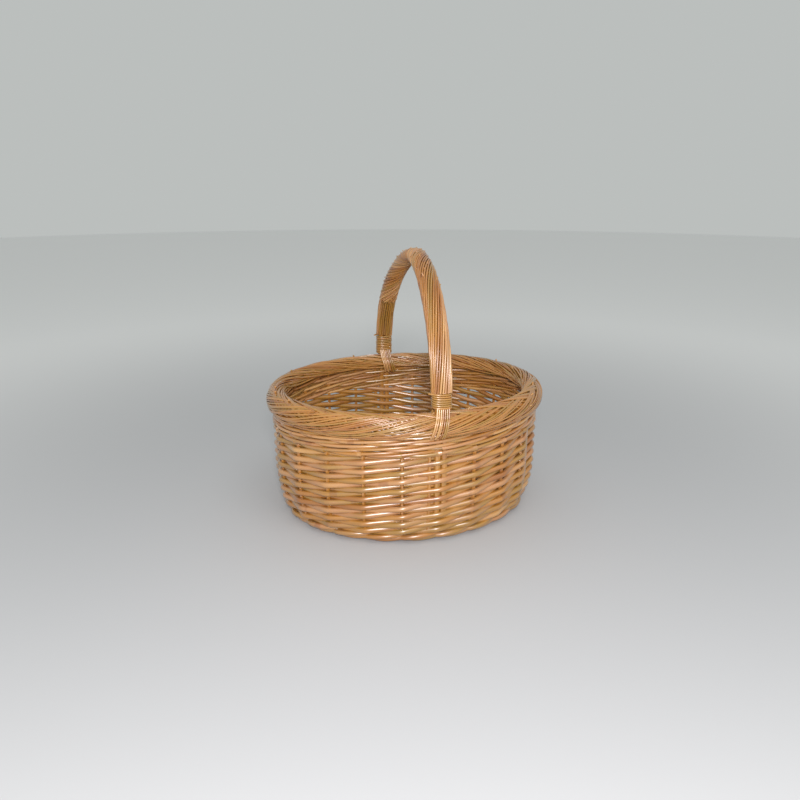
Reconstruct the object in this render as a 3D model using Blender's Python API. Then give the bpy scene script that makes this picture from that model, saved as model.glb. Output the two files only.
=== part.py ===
"""An oval willow market basket with a plaited border and a roped bow handle.

Frame: +Z up, the floor at Z = 0, the origin under the middle of the oval.
The long axis is X, and the handle arches from the front (-Y) to the back (+Y).
Lengths are in metres.
"""

import math

import bmesh
import bpy
from mathutils import Vector

# --- Driving dimensions -------------------------------------------------------

# The oval and its heights
RIM_LENGTH = 0.400          # outside the border, along X
RIM_WIDTH = 0.342           # outside the border, along Y
RIM_HEIGHT = 0.184          # floor to the top of the border
BORDER_WIDTH = 0.029        # the plait, measured across the wall
BORDER_DEPTH = 0.040        # how far the plait reaches down outside
BORDER_STEPS = 14           # straight pieces round the roll
BORDER_ROLL = 0.020         # how far it reaches down inside, where the wall goes up under it

# The woven wall
WALL_THICKNESS = 0.016      # one weaver, one stake and one weaver
WALL_INSET = 0.0060         # how far the wall stands back under the border
FOOT_INSET = 0.028          # how far the foot curves in below the wall
KNEE_HEIGHT = 0.072         # where that curve ends and the wall is upright
FOOT_WALE_HEIGHT = 0.022    # the heavy rounds that turn the corner
TOP_WALE_HEIGHT = 0.035     # the top rounds: some show outside, the rest lie under the border
KNEE_STEPS = 5              # straight pieces in the knee's quarter turn

# Stakes and base sticks
STAKE_PLACES = 22           # the two handle places are counted
STAKE_DIAMETER = 0.005
STAKE_TAIL = 0.025          # the pushed-in end, inside the base
HANDLE_STAKE_GAP = 0.0145   # from the handle's middle to the stake beside it
LONG_STICK_COUNT = 3
LONG_STICK_DIAMETER = 0.006
LONG_STICK_SPACING = 0.010
CROSS_STICK_DIAMETER = 0.0075
CROSS_STICK_SPLIT = 0.0115  # the thickness where the cross stick is split open
CROSS_STICK_TAPER = 2.2     # the swelling dies out at this many times its own half length
CROSS_STICK_GAPS = 3        # gaps between stakes, each side of the handle, that hold one

# The handle
HANDLE_RISE = 0.176         # border top to the middle of the handle at its top
HANDLE_OFFSET = 0.004       # the legs stand this far to +X of the middle
HANDLE_LEAN = 0.009         # the top leans this much further
HANDLE_WIDTH = 0.028        # over the roping, along X
HANDLE_THICKNESS = 0.019    # over the roping, across the bend
ARCH_SPREAD = 1.235         # over 1: the legs draw together sooner than on an ellipse
ARCH_SHOULDER = 0.893       # under 1: the shoulders stand higher than on an ellipse
ARCH_STEPS = 26             # straight pieces in the arch
BOW_DIAMETER = 0.0085
BOW_FOOT = 0.040            # height of the pushed-in ends of the bows
FRONT_BINDING_BOTTOM = 0.0055   # above the rim; the rod ends show below it
FRONT_BINDING_HEIGHT = 0.020
BACK_BINDING_HEIGHT = 0.032     # this one starts at the rim
BINDING_WIDTH = 0.0255
BINDING_THICKNESS = 0.018
ENDS_WIDTH = 0.020          # the band of rod ends laid over the border
ENDS_THICKNESS = 0.0025
ENDS_SLANT = 0.008          # how far that band runs sideways on its way down
OUTER_ENDS_REACH = math.radians(128)  # how far it goes round the border, from the top
INNER_ENDS_REACH = math.radians(100)

# Fits
CLEARANCE = 0.0003          # between touching pieces
END_GAP = 0.0012            # at the ends of sticks and roping, and under the bands of rod ends
ROOM_OVERRUN = 0.012        # how far a cutter runs on past the end of its piece
MERGE_DISTANCE = 0.00001    # points closer than this are one point

# --- Worked out from them -----------------------------------------------------

HALF_LENGTH = RIM_LENGTH / 2
HALF_WIDTH = RIM_WIDTH / 2
BORDER_FLOOR = RIM_HEIGHT - BORDER_DEPTH
BORDER_MIDDLE = RIM_HEIGHT - BORDER_DEPTH / 2
WALL_MIDDLE = WALL_THICKNESS / 2
STAKE_INSET = WALL_INSET + WALL_MIDDLE
FOOT_EDGE = WALL_INSET + FOOT_INSET
WALL_TOP = RIM_HEIGHT - BORDER_ROLL
SIDING_TOP = WALL_TOP - TOP_WALE_HEIGHT
BOW_PAIR_WIDTH = 2 * BOW_DIAMETER + CLEARANCE

WILLOW = {
    "weaver": ((0.58, 0.32, 0.12), 0.42),
    "stake": ((0.50, 0.27, 0.10), 0.45),
    "border": ((0.48, 0.24, 0.08), 0.40),
    "stick": ((0.46, 0.26, 0.11), 0.50),
    "bow": ((0.40, 0.20, 0.07), 0.45),
    "roping": ((0.55, 0.31, 0.11), 0.38),
    "binding": ((0.60, 0.33, 0.12), 0.36),
}


# --- Blender helpers ----------------------------------------------------------

def clear_scene():
    for obj in list(bpy.data.objects):
        bpy.data.objects.remove(obj, do_unlink=True)


def new_collection(name):
    collection = bpy.data.collections.new(name)
    bpy.context.scene.collection.children.link(collection)
    return collection


def willow_material(name):
    colour, roughness = WILLOW[name]
    material = bpy.data.materials.new("willow_" + name)
    material.use_nodes = True
    shader = material.node_tree.nodes["Principled BSDF"]
    shader.inputs["Base Color"].default_value = (*colour, 1)
    shader.inputs["Roughness"].default_value = roughness
    shader.inputs["Metallic"].default_value = 0
    return material


def curve_object(name, points, cyclic=False, radii=None):
    """A POLY curve through the points, linked to the scene and without thickness."""
    curve = bpy.data.curves.new(name, "CURVE")
    curve.dimensions = "3D"
    curve.twist_mode = "Z_UP" if cyclic else "MINIMUM"
    spline = curve.splines.new("POLY")
    spline.points.add(len(points) - 1)
    for index, (point, co) in enumerate(zip(spline.points, points)):
        point.co = (*co, 1)
        point.radius = radii[index] if radii else 1
    spline.use_cyclic_u = cyclic
    obj = bpy.data.objects.new(name, curve)
    bpy.context.scene.collection.objects.link(obj)
    return obj


def as_mesh(obj, collection):
    """Swaps a curve object for a closed mesh of the same name, facing out."""
    graph = bpy.context.evaluated_depsgraph_get()
    mesh = bpy.data.meshes.new_from_object(obj.evaluated_get(graph))
    body = bmesh.new()
    body.from_mesh(mesh)
    bmesh.ops.remove_doubles(body, verts=body.verts, dist=MERGE_DISTANCE)
    bmesh.ops.recalc_face_normals(body, faces=body.faces)
    body.to_mesh(mesh)
    body.free()
    name, matrix = obj.name, obj.matrix_world.copy()
    bpy.data.objects.remove(obj, do_unlink=True)
    mesh.name = name
    result = bpy.data.objects.new(name, mesh)
    result.matrix_world = matrix
    collection.objects.link(result)
    return result


def rod(name, points, diameter, collection, sides=6, radii=None):
    """A round rod along the points."""
    obj = curve_object(name, points, radii=radii)
    obj.data.bevel_depth = diameter / 2
    obj.data.bevel_resolution = sides // 2 - 2
    obj.data.use_fill_caps = True
    return as_mesh(obj, collection)


def ring_sweep(name, path, section, collection):
    """A closed section, as (outward, up) pairs, carried round a closed level path."""
    outline = curve_object(name + "_section", [(x, y, 0) for x, y in section], cyclic=True)
    outline.data.dimensions = "2D"
    outline.data.fill_mode = "NONE"
    obj = curve_object(name, path, cyclic=True)
    obj.data.bevel_mode = "OBJECT"
    obj.data.bevel_object = outline
    result = as_mesh(obj, collection)
    bpy.data.objects.remove(outline, do_unlink=True)
    return result


def closed_body(name, body, collection):
    """An object from a closed bmesh, which is turned to face out and freed."""
    bmesh.ops.recalc_face_normals(body, faces=body.faces)
    mesh = bpy.data.meshes.new(name)
    body.to_mesh(mesh)
    body.free()
    result = bpy.data.objects.new(name, mesh)
    collection.objects.link(result)
    return result


def loft(name, points, section, collection):
    """A solid through the section at each point. The section's first axis stays along X."""
    body = bmesh.new()
    loops = []
    for index, point in enumerate(points):
        here = Vector(point)
        before, after = points[max(index - 1, 0)], points[min(index + 1, len(points) - 1)]
        along = (Vector(after) - Vector(before)).normalized()
        up = along.cross(Vector((1, 0, 0))).normalized()
        across = up.cross(along)
        loops.append([body.verts.new(here + across * x + up * y) for x, y in section])
    for low, high in zip(loops, loops[1:]):
        for side in range(len(section)):
            after = (side + 1) % len(section)
            body.faces.new((low[side], low[after], high[after], high[side]))
    body.faces.new(loops[0])
    body.faces.new(loops[-1])
    return closed_body(name, body, collection)


def joined(name, objects):
    """One mesh object that holds several separate bodies."""
    body = bmesh.new()
    for obj in objects:
        body.from_mesh(obj.data)
    mesh = bpy.data.meshes.new(name)
    body.to_mesh(mesh)
    body.free()
    for obj in objects:
        bpy.data.objects.remove(obj, do_unlink=True)
    result = bpy.data.objects.new(name, mesh)
    cutters.objects.link(result)
    result.hide_render = True
    result.display_type = "WIRE"
    return result


def cut(obj, *tools):
    for tool in tools:
        modifier = obj.modifiers.new("room_for_" + tool.name, "BOOLEAN")
        modifier.operation = "DIFFERENCE"
        modifier.solver = "EXACT"
        modifier.object = tool


def finish(obj, material):
    obj.data.materials.clear()
    obj.data.materials.append(materials[material])
    obj.data.shade_smooth()
    obj.data.set_sharp_from_angle(angle=math.radians(50))
    return obj


def ellipse(width, height, steps, power=1.0, centre=(0.0, 0.0)):
    """Points round an ellipse; a power under 1 squares it up."""
    points = []
    for step in range(steps):
        angle = math.tau * step / steps
        across, up = math.cos(angle), math.sin(angle)
        points.append((
            centre[0] + width / 2 * math.copysign(abs(across) ** power, across),
            centre[1] + height / 2 * math.copysign(abs(up) ** power, up),
        ))
    return points


# --- The oval and the places along it -----------------------------------------

def oval_point(angle, inset, height):
    """A point that lies this far inside the rim's outline, square to it."""
    normal = (math.cos(angle) / HALF_LENGTH, math.sin(angle) / HALF_WIDTH)
    length = math.hypot(*normal)
    return (
        HALF_LENGTH * math.cos(angle) - inset * normal[0] / length,
        HALF_WIDTH * math.sin(angle) - inset * normal[1] / length,
        height,
    )


def evenly_spaced(start, end, count):
    """Angles that cut the stake line from start to end into equal lengths."""
    fine = 2000
    angles = [start + (end - start) * step / fine for step in range(fine + 1)]
    points = [oval_point(angle, STAKE_INSET, 0) for angle in angles]
    run = [0.0]
    for before, after in zip(points, points[1:]):
        run.append(run[-1] + math.dist(before, after))
    spaced = []
    for step in range(count):
        wanted = run[-1] * step / count
        spaced.append(angles[next(i for i, length in enumerate(run) if length >= wanted)])
    return spaced


def angle_at(x, side):
    """Where the oval passes x, at the front (side -1) or the back (side 1)."""
    return side * math.acos(x / (HALF_LENGTH - STAKE_INSET))


def oval_angles(per_place):
    """Angles all the way round, with whole steps from one handle place to the other."""
    front, back = angle_at(HANDLE_OFFSET, -1), angle_at(HANDLE_OFFSET, 1)
    count = STAKE_PLACES // 2 * per_place
    right = evenly_spaced(front, back, count)
    left = evenly_spaced(back, front + math.tau, count)
    return right + left


def wall_profile(depth, bottom, top):
    """(inset, height) points up the wall, between two heights, this deep inside its face."""
    line = []
    for step in range(KNEE_STEPS + 1):
        turn = math.pi / 2 * step / KNEE_STEPS
        line.append((
            FOOT_EDGE - (FOOT_INSET - depth) * math.sin(turn),
            KNEE_HEIGHT - (KNEE_HEIGHT - depth) * math.cos(turn),
        ))
    line.append((WALL_INSET + depth, max(top, KNEE_HEIGHT) + WALL_THICKNESS))
    bottom = max(bottom, depth)
    between = [point for point in line if bottom + END_GAP < point[1] < top - END_GAP]
    return [point_at_height(line, bottom)] + between + [point_at_height(line, top)]


def point_at_height(line, height):
    """Where the line passes this height."""
    for low, high in zip(line, line[1:]):
        if low[1] <= height <= high[1]:
            share = (height - low[1]) / (high[1] - low[1])
            return (low[0] + share * (high[0] - low[0]), height)
    raise ValueError("the line doesn't reach this height")


def band_section(bottom, top):
    """The wall's section between two heights, as (outward, up) pairs."""
    outer = wall_profile(0, bottom, top)
    inner = wall_profile(WALL_THICKNESS, bottom, top)
    return [(-inset, height) for inset, height in outer + inner[::-1]]


def rim_path():
    return [oval_point(angle, 0, 0) for angle in oval_angles(2)]


def ring(name, section, material):
    """A closed ring that follows the rim's outline, from an (outward, up) section."""
    return finish(ring_sweep(name, rim_path(), section, parts), material)


# --- The base -----------------------------------------------------------------

def stake_angles():
    """Every stake place but the two that the handle takes."""
    places = oval_angles(1)
    return [angle for i, angle in enumerate(places) if i % (STAKE_PLACES // 2)]


def handle_stake_angles():
    """The stakes at the handle places stand beside the bows, at the front and at the back."""
    return [angle_at(HANDLE_OFFSET - HANDLE_STAKE_GAP, side) for side in (-1, 1)]


def cross_stick_places():
    """X of each cross stick, clear of the pushed-in ends of the stakes on either side of it."""
    angles = oval_angles(1)
    near = angles[-CROSS_STICK_GAPS:] + handle_stake_angles()[:1] + angles[1:CROSS_STICK_GAPS + 1]
    feet = sorted(
        (oval_point(angle, FOOT_EDGE, 0)[0], oval_point(angle, FOOT_EDGE + STAKE_TAIL, 0)[0])
        for angle in near
    )
    places = []
    for (left_foot, left_tail), (right_foot, right_tail) in zip(feet, feet[1:]):
        if left_foot + right_foot < 0:
            places.append((left_tail + right_foot) / 2)
        else:
            places.append((left_foot + right_tail) / 2)
    return places


def base_half_width(x):
    reach = HALF_LENGTH - FOOT_EDGE
    return (HALF_WIDTH - FOOT_EDGE) * math.sqrt(1 - (x / reach) ** 2)


def long_stick(name, y, collection, margin=0.0, overrun=0.0):
    """A stick along the middle that ends before the pushed-in ends of the stakes."""
    reach = HALF_LENGTH - FOOT_EDGE - STAKE_TAIL - STAKE_DIAMETER + overrun
    half = reach * math.sqrt(1 - (y / (HALF_WIDTH - FOOT_EDGE)) ** 2)
    ends = [(-half, y, WALL_MIDDLE), (half, y, WALL_MIDDLE)]
    return rod(name, ends, LONG_STICK_DIAMETER + 2 * margin, collection, sides=8)


def cross_stick(name, x, collection, margin=0.0, overrun=0.0):
    """A stick that swells where it is split to let the long sticks through."""
    end = base_half_width(abs(x) + CROSS_STICK_DIAMETER / 2) - END_GAP + overrun
    split = LONG_STICK_SPACING * (LONG_STICK_COUNT - 1) / 2 + LONG_STICK_DIAMETER
    taper = CROSS_STICK_TAPER * split
    diameter = CROSS_STICK_DIAMETER + 2 * margin
    swell = (CROSS_STICK_SPLIT + 2 * margin) / diameter
    points = [(x, y, WALL_MIDDLE) for y in (-end, -taper, -split, split, taper, end)]
    return rod(name, points, diameter, collection, sides=8, radii=[1, 1, swell, swell, 1, 1])


def split_cutter():
    """The slit through the middle of every cross stick."""
    long_run = LONG_STICK_SPACING * (LONG_STICK_COUNT - 1) + LONG_STICK_DIAMETER
    bpy.ops.mesh.primitive_cube_add(size=1, location=(0, 0, WALL_MIDDLE))
    slit = bpy.context.object
    slit.name = "stick_slit"
    slit.scale = (RIM_LENGTH, long_run + 2 * CLEARANCE, LONG_STICK_DIAMETER + 2 * CLEARANCE)
    bpy.ops.object.transform_apply(location=True, rotation=False, scale=True)
    return joined("stick_slit", [slit])


def plate(name, inset, thickness):
    """A flat oval board that stands on the floor."""
    body = bmesh.new()
    outline = [body.verts.new(oval_point(angle, inset, 0)) for angle in oval_angles(2)]
    floor = body.faces.new(outline)
    top = bmesh.ops.extrude_face_region(body, geom=[floor])["geom"]
    rising = [piece for piece in top if isinstance(piece, bmesh.types.BMVert)]
    bmesh.ops.translate(body, vec=(0, 0, thickness), verts=rising)
    return closed_body(name, body, parts)


def make_base():
    rows = [
        LONG_STICK_SPACING * (i - (LONG_STICK_COUNT - 1) / 2) for i in range(LONG_STICK_COUNT)
    ]
    slit = split_cutter()
    long_room = joined(
        "long_stick_room",
        [long_stick("room", y, cutters, CLEARANCE, CLEARANCE) for y in rows],
    )
    cross_room = joined(
        "cross_stick_room",
        [cross_stick("room", x, cutters, CLEARANCE, ROOM_OVERRUN) for x in cross_stick_places()],
    )
    for number, y in enumerate(rows, 1):
        finish(long_stick(f"base_long_stick_{number}", y, parts), "stick")
    for number, x in enumerate(cross_stick_places(), 1):
        stick = finish(cross_stick(f"base_cross_stick_{number}", x, parts), "stick")
        cut(stick, slit)
    weave = finish(plate("base_weave", FOOT_EDGE + CLEARANCE, WALL_THICKNESS), "weaver")
    cut(weave, long_room, cross_room, stake_room)


# --- The sides ----------------------------------------------------------------

def stake(name, angle, collection, margin=0.0, overrun=0.0):
    """From inside the base, round the knee and up under the border."""
    tail = (FOOT_EDGE + STAKE_TAIL + margin, WALL_MIDDLE)
    top = WALL_TOP - CLEARANCE + overrun
    line = [tail] + wall_profile(WALL_MIDDLE, 0, top)
    points = [oval_point(angle, inset, height) for inset, height in line]
    return rod(name, points, STAKE_DIAMETER + 2 * margin, collection)


def make_sides():
    for number, angle in enumerate(stake_angles(), 1):
        finish(stake(f"side_stake_{number:02d}", angle, parts), "stake")
    for place, angle in zip(("front", "back"), handle_stake_angles()):
        finish(stake(f"handle_stake_{place}", angle, parts), "stake")
    foot = ring("foot_wale", band_section(0, FOOT_WALE_HEIGHT), "weaver")
    siding = ring(
        "siding", band_section(FOOT_WALE_HEIGHT + CLEARANCE, SIDING_TOP - CLEARANCE), "weaver"
    )
    top = ring("top_wale", band_section(SIDING_TOP, WALL_TOP - CLEARANCE), "weaver")
    cut(foot, stake_room)
    cut(siding, stake_room, bow_room)
    cut(top, stake_room, bow_room)


def border_section():
    """From the lower edge outside over the top to the edge inside, then the corner of the wall."""
    half_wide, half_deep = BORDER_WIDTH / 2, BORDER_DEPTH / 2
    outer, top = CLEARANCE - WALL_INSET, WALL_TOP + CLEARANCE
    start = -math.acos((outer + half_wide) / half_wide)
    end = math.pi - math.asin((top - BORDER_MIDDLE) / half_deep)
    section = []
    for step in range(BORDER_STEPS + 1):
        turn = start + (end - start) * step / BORDER_STEPS
        section.append((
            half_wide * (math.cos(turn) - 1),
            BORDER_MIDDLE + half_deep * math.sin(turn),
        ))
    return section + [(outer, top)]


def make_border():
    """The plait is rolled over the wall and hangs lower outside than inside."""
    border = ring("border", border_section(), "border")
    cut(border, bow_room)


# --- The handle ---------------------------------------------------------------

def arch_point(turn, sideways=0.0):
    """The handle's middle line: turn runs from 0 at the front rim to pi at the back rim."""
    rise = math.sin(turn) ** ARCH_SHOULDER
    across = math.copysign(abs(math.cos(turn)) ** ARCH_SPREAD, math.cos(turn))
    return (
        HANDLE_OFFSET + HANDLE_LEAN * rise ** 3 + sideways,
        -(HALF_WIDTH - STAKE_INSET) * across,
        RIM_HEIGHT + HANDLE_RISE * rise,
    )


def turn_at(height):
    """The arch's turn where its front leg reaches this height."""
    return math.asin(((height - RIM_HEIGHT) / HANDLE_RISE) ** (1 / ARCH_SHOULDER))


def bow_line(sideways, foot):
    """One core bow: up inside the wall, over the arch and down the other side."""
    wall = wall_profile(WALL_MIDDLE, foot, RIM_HEIGHT - CLEARANCE)
    leg = [(HALF_WIDTH - inset, height) for inset, height in wall]
    front = [(HANDLE_OFFSET + sideways, -y, z) for y, z in leg]
    back = [(HANDLE_OFFSET + sideways, y, z) for y, z in reversed(leg)]
    turns = [math.pi * step / ARCH_STEPS for step in range(1, ARCH_STEPS)]
    return front + [arch_point(turn, sideways) for turn in turns] + back


def arch_run(start, end):
    """Points along the arch from one turn to another."""
    steps = max(2, round(ARCH_STEPS * (end - start) / math.pi))
    return [arch_point(start + (end - start) * step / steps) for step in range(steps + 1)]


def make_bows():
    sideways = (BOW_DIAMETER + CLEARANCE) / 2
    for name, side in (("handle_bow_left", -1), ("handle_bow_right", 1)):
        finish(rod(name, bow_line(side * sideways, BOW_FOOT), BOW_DIAMETER, parts, sides=8), "bow")


def front_binding_top():
    return RIM_HEIGHT + FRONT_BINDING_BOTTOM + FRONT_BINDING_HEIGHT


def back_binding_top():
    return RIM_HEIGHT + 2 * CLEARANCE + BACK_BINDING_HEIGHT


def make_roping():
    section = ellipse(HANDLE_WIDTH, HANDLE_THICKNESS, 12, power=0.7)
    front = turn_at(front_binding_top() + END_GAP)
    back = turn_at(back_binding_top() + END_GAP)
    roping = loft("handle_roping", arch_run(front, math.pi - back), section, parts)
    cut(finish(roping, "roping"), bow_room)


def make_bindings():
    section = ellipse(BINDING_WIDTH, BINDING_THICKNESS, 12, power=0.7)
    front_low, front_high = turn_at(RIM_HEIGHT + FRONT_BINDING_BOTTOM), turn_at(front_binding_top())
    back_low, back_high = turn_at(RIM_HEIGHT + 2 * CLEARANCE), turn_at(back_binding_top())
    for name, start, end in (
        ("handle_binding_front", front_low, front_high),
        ("handle_binding_back", math.pi - back_high, math.pi - back_low),
    ):
        binding = loft(name, arch_run(start, end), section, parts)
        cut(finish(binding, "binding"), bow_room)


def ends_line(side, face, reach):
    """Round the border from beside the leg down to its lower edge, square to the rim."""
    lift = END_GAP + ENDS_THICKNESS / 2
    start = math.asin((BINDING_THICKNESS / 2 + CLEARANCE) / (BORDER_WIDTH / 2))
    steps = 7
    points = []
    for step in range(steps + 1):
        share = step / steps
        turn = start + (reach - start) * share
        inset = BORDER_WIDTH / 2 - face * (BORDER_WIDTH / 2 + lift) * math.sin(turn)
        height = BORDER_MIDDLE + (BORDER_DEPTH / 2 + lift) * math.cos(turn)
        x = HANDLE_OFFSET + side * ENDS_SLANT * share
        points.append(oval_point(angle_at(x, side), inset, height))
    return points


def make_rod_ends():
    """The ends of the roping rods, laid over the border beside each leg."""
    section = ellipse(ENDS_WIDTH, ENDS_THICKNESS, 8, power=0.7)
    for side_name, side in (("front", -1), ("back", 1)):
        for face_name, face, reach in (
            ("outer", 1, OUTER_ENDS_REACH), ("inner", -1, INNER_ENDS_REACH)
        ):
            name = f"roping_ends_{side_name}_{face_name}"
            finish(loft(name, ends_line(side, face, reach), section, parts), "roping")


# --- Build --------------------------------------------------------------------

clear_scene()
parts = new_collection("market_basket")
cutters = new_collection("cutters")
materials = {name: willow_material(name) for name in WILLOW}

stake_room = joined(
    "stake_room",
    [
        stake("room", angle, cutters, CLEARANCE, ROOM_OVERRUN)
        for angle in stake_angles() + handle_stake_angles()
    ],
)
bow_section = ellipse(
    BOW_PAIR_WIDTH + 2 * CLEARANCE, BOW_DIAMETER + 2 * CLEARANCE, 20, power=0.5
)
bow_room = joined(
    "bow_room",
    [loft("room", bow_line(0, BOW_FOOT - CLEARANCE), bow_section, cutters)],
)

make_base()
make_sides()
make_border()
make_bows()
make_roping()
make_bindings()
make_rod_ends()
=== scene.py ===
# %% [markdown]
# # An oval willow basket with a plaited border and a roped bow handle
#
# The basket is nothing but willow rods: upright stakes, thin rods worked in and out of them, a plait
# that finishes the rim, and a handle of two thick bows dressed with fine rods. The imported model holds
# the woven parts as plain closed shapes. Here each of those shapes is woven again, rod by rod.

import math

import bpy
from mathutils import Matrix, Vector


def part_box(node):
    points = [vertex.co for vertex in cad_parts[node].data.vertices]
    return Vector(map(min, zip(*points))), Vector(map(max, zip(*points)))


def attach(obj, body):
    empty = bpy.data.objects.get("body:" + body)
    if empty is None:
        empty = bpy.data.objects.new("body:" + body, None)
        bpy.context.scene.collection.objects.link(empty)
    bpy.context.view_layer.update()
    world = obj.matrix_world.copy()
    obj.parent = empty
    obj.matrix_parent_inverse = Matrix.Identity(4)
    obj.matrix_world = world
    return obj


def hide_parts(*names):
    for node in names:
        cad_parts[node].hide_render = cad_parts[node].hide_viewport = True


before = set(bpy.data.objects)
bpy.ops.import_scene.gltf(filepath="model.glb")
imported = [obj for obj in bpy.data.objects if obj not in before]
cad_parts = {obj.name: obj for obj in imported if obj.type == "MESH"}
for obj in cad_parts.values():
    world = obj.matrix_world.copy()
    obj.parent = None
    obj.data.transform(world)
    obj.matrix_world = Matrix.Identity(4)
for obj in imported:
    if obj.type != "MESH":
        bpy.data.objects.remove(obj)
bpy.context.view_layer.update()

# %% [markdown]
# ## Sizes
#
# Every size that the frame knows is read from it, so that a rod lies where the solid shape was: the
# border gives the oval, the siding says how far the wall stands back, and the roping gives the arch.
# The few that no box shows are the model's own constants, written again.

# %% Read the sizes from the frame
border_low, border_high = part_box("border")
wale_low, wale_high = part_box("top_wale")
roping_low, roping_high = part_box("handle_roping")
binding_low, binding_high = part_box("handle_binding_front")
siding_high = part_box("siding")[1]
base_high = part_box("base_weave")[1]
inner_ends_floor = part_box("roping_ends_front_inner")[0].z
back_binding_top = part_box("handle_binding_back")[1].z

HALF_LENGTH, HALF_WIDTH, RIM_HEIGHT = border_high
BORDER_FLOOR = border_low.z
BORDER_DEPTH = RIM_HEIGHT - BORDER_FLOOR
BORDER_MIDDLE = (RIM_HEIGHT + BORDER_FLOOR) / 2
WALL_THICKNESS = base_high.z
WALL_INSET = HALF_LENGTH - siding_high.x
STAKE_INSET = WALL_INSET + WALL_THICKNESS / 2
FOOT_EDGE = HALF_LENGTH - base_high.x
print("oval in mm:", round(2000 * HALF_LENGTH), "by", round(2000 * HALF_WIDTH))

# %% Sizes that no box shows
BORDER_WIDTH = 0.029
KNEE_HEIGHT = 0.072
STAKE_PLACES = 22
STAKE_THICKNESS = 0.005
HANDLE_THICKNESS = 0.019
ARCH_SPREAD = 1.235
ARCH_SHOULDER = 0.893

# %% Sizes of the handle
HANDLE_OFFSET = (binding_low.x + binding_high.x) / 2
HANDLE_WIDTH = 2 * (HANDLE_OFFSET - roping_low.x)
HANDLE_LEAN = roping_high.x - HANDLE_OFFSET - HANDLE_WIDTH / 2
HANDLE_RISE = roping_high.z - HANDLE_THICKNESS / 2 - RIM_HEIGHT
print("handle rises", round(1000 * HANDLE_RISE), "mm over the rim")

# %% [markdown]
# ## Sums written as sums
#
# A node tree for a weave holds dozens of Math nodes. They could be placed one by one, but the formula
# would be lost. A small class wraps a socket instead, and every operator on it adds its node, so the
# same way of writing serves the shapes here and the finishes below.

# %% Wires
class Wire:
    """A socket of a tree that can be used in a sum."""

    def __init__(self, tree, socket):
        self.tree = tree
        self.socket = socket

    def math(self, operation, *values):
        vectors = any(isinstance(v, Wire) and v.socket.type == "VECTOR" for v in (self, *values))
        kind = "ShaderNodeVectorMath" if vectors else "ShaderNodeMath"
        inputs = dict(enumerate((self, *values)))
        return self.tree.node(kind, {"operation": operation}, inputs)

    def __add__(self, other):
        return self.math("ADD", other)

    def __sub__(self, other):
        return self.math("SUBTRACT", other)

    def __rsub__(self, other):
        return (self * -1).math("ADD", other)

    def __mul__(self, other):
        return self.math("MULTIPLY", other)

    def __truediv__(self, other):
        return self.math("DIVIDE", other)

    def __rtruediv__(self, other):
        return self.math("POWER", -1) * other

    def __pow__(self, other):
        return self.math("POWER", other)

    __radd__ = __add__
    __rmul__ = __mul__

    def sin(self):
        return self.math("SINE")

    def cos(self):
        return self.math("COSINE")

    def root(self):
        return self.math("SQRT")

    def size(self):
        return self.math("ABSOLUTE")

    def sign(self):
        return self.math("SIGN")

    def floor(self):
        return self.math("FLOOR")

    def remainder(self, whole):
        return self.math("FLOORED_MODULO", whole)

    def least(self, other):
        return self.math("MINIMUM", other)

    def most(self, other):
        return self.math("MAXIMUM", other)

    def smooth(self, low, high):
        """0 below low, 1 above high, and an even S between them."""
        share = ((self - low) / (high - low)).most(0).least(1)
        return share * share * (3 - 2 * share)

    def scaled(self, share):
        """A vector made longer or shorter by a plain value."""
        return self.tree.node(
            "ShaderNodeVectorMath", {"operation": "SCALE"}, {"Vector": self, "Scale": share}
        )


# %% Trees
class Tree:
    """A node tree that is filled by one method."""

    def __init__(self, tree):
        self.tree = tree

    def node(self, kind, settings=None, values=None, out=None):
        """Adds a node: first its settings, then the values or links of its inputs."""
        node = self.tree.nodes.new(kind)
        for name, value in (settings or {}).items():
            if name == "stops":
                self.set_stops(node.color_ramp, value)
            else:
                setattr(node, name, value)
        for name, value in (values or {}).items():
            self.feed(self.find(node.inputs, name), value)
        chosen = self.find(node.outputs, out) if out else next(s for s in node.outputs if s.enabled)
        return Wire(self, chosen)

    def find(self, sockets, name):
        if isinstance(name, int):
            return sockets[name]
        return next(s for s in sockets if s.name == name and s.enabled)

    def feed(self, socket, value):
        if isinstance(value, Wire):
            self.tree.links.new(value.socket, socket)
        elif socket.type == "VECTOR" and isinstance(value, (int, float)):
            socket.default_value = (value, value, value)
        else:
            socket.default_value = value

    def set_stops(self, ramp, stops):
        while len(ramp.elements) < len(stops):
            ramp.elements.new(1)
        for element, (place, colour) in zip(ramp.elements, stops):
            element.position = place
            element.color = (*colour, 1)

    def vector(self, x=0.0, y=0.0, z=0.0):
        return self.node("ShaderNodeCombineXYZ", values={"X": x, "Y": y, "Z": z})


# %% [markdown]
# ## The way round the oval
#
# The stakes stand at even distances along the oval, and everything woven is counted in stake places:
# a weaver that has passed seven stakes is seven places on. Equal distances on an ellipse have no
# simple formula, so the angles are walked out once here. They are kept on a guide mesh as an
# attribute, and each tree reads the angle of a place from it.

# %% Angles of the stake places
STEPS_PER_PLACE = 16
FINE_STEPS = 4000


def oval_point(angle, inset, height):
    """A point that lies this far inside the rim's outline, square to it."""
    normal = (math.cos(angle) / HALF_LENGTH, math.sin(angle) / HALF_WIDTH)
    length = math.hypot(*normal)
    return (
        HALF_LENGTH * math.cos(angle) - inset * normal[0] / length,
        HALF_WIDTH * math.sin(angle) - inset * normal[1] / length,
        height,
    )


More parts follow.
